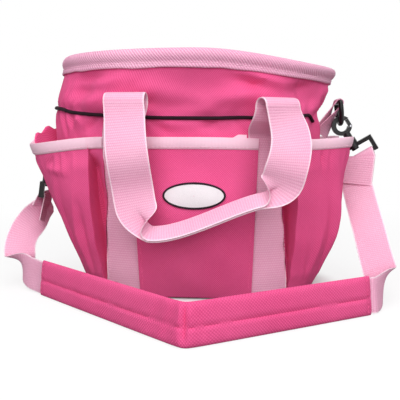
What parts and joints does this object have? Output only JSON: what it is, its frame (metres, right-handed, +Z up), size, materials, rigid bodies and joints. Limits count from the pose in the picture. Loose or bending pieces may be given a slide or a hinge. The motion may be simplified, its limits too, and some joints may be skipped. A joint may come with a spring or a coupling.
{
  "type": "grooming tote bag",
  "caption": "Soft pink oval tote with a hooped rim, outside pockets under an elastic cord, webbing handles, an oval badge and a clip-on padded shoulder strap.",
  "frame": {"origin": "middle of the base, on the floor", "axes": "+Z up out of the open top, -Y the front with the badge, +X the bag's right side in the picture"},
  "size_m": [0.3967, 0.3591, 0.238],
  "materials": {
    "pink_cloth": "woven, matt",
    "pale_tape": "ribbed tape",
    "rim_tape": "twill tape",
    "pale_webbing": "ribbed webbing",
    "pad_cloth": "woven, padded",
    "base_board": "matt",
    "hoop_wire": "drawn wire",
    "badge_face": "woven label",
    "badge_edge": "satin stitch",
    "elastic": "braided elastic",
    "black_plastic": "moulded",
    "steel_pin": "plain"
  },
  "bodies": {
    "bag": {"base_panel": "pink_cloth", "base_board": "base_board", "body_front": "pink_cloth", "body_back": "pink_cloth", "rim_binding": "rim_tape", "rim_hoop": "hoop_wire", "front_left_pocket": "pink_cloth", "front_right_pocket": "pink_cloth", "back_left_pocket": "pink_cloth", "back_right_pocket": "pink_cloth", "front_left_pocket_tape": "pale_tape", "front_right_pocket_tape": "pale_tape", "back_left_pocket_tape": "pale_tape", "back_right_pocket_tape": "pale_tape", "inner_front_pocket": "pink_cloth", "inner_front_pocket_tape": "pale_tape", "front_pocket": "pink_cloth", "front_pocket_tape": "pale_tape", "back_pocket": "pink_cloth", "back_pocket_tape": "pale_tape", "badge": "badge_face", "badge_border": "badge_edge", "elastic_cord": "elastic", "front_left_leg": "pale_webbing", "front_right_leg": "pale_webbing", "back_left_leg": "pale_webbing", "back_right_leg": "pale_webbing", "left_tab": "pale_webbing", "right_tab": "pale_webbing", "left_ring": "black_plastic", "right_ring": "black_plastic"},
    "front_handle": {"front_handle": "pale_webbing"},
    "back_handle": {"back_handle": "pale_webbing"},
    "strap": {"left_eye": "black_plastic", "right_eye": "black_plastic", "left_strap": "pale_webbing", "right_strap": "pale_webbing", "shoulder_pad": "pad_cloth"},
    "left_hook": {"left_hook": "black_plastic", "left_gate_pin": "steel_pin"},
    "right_hook": {"right_hook": "black_plastic", "right_gate_pin": "steel_pin"},
    "left_gate": {"left_gate": "black_plastic"},
    "right_gate": {"right_gate": "black_plastic"}
  },
  "joints": [
    {"name": "front_handle_lift", "type": "hinge", "parent": "bag", "child": "front_handle", "pos_m": [0.007, -0.11, 0.19907], "axis": [-0.9993, 0, 0.0362], "range_deg": [0, 150]},
    {"name": "back_handle_lift", "type": "hinge", "parent": "bag", "child": "back_handle", "pos_m": [0.007, 0.11, 0.19907], "axis": [0.9993, 0, -0.0362], "range_deg": [0, 150]},
    {"name": "strap_swing", "type": "hinge", "parent": "bag", "child": "strap", "pos_m": [-0.009, 0, 0.168], "axis": [-0.9934, 0, -0.1146], "range_deg": [0, 20]},
    {"name": "left_hook_swivel", "type": "hinge", "parent": "strap", "child": "left_hook", "pos_m": [-0.16317, 0, 0.13411], "axis": [-0.1392, 0, -0.9903], "range_deg": [-15, 15]},
    {"name": "right_hook_swivel", "type": "hinge", "parent": "strap", "child": "right_hook", "pos_m": [0.14883, 0, 0.17011], "axis": [0.5299, 0, -0.848], "range_deg": [-15, 15]},
    {"name": "left_gate_press", "type": "hinge", "parent": "left_hook", "child": "left_gate", "pos_m": [-0.17174, 0, 0.12774], "axis": [0, 1, 0], "range_deg": [0, 18], "stiffness_Nm_per_rad": 0.02},
    {"name": "right_gate_press", "type": "hinge", "parent": "right_hook", "child": "right_gate", "pos_m": [0.15925, 0, 0.16777], "axis": [0, -1, 0], "range_deg": [0, 18], "stiffness_Nm_per_rad": 0.02}
  ]
}
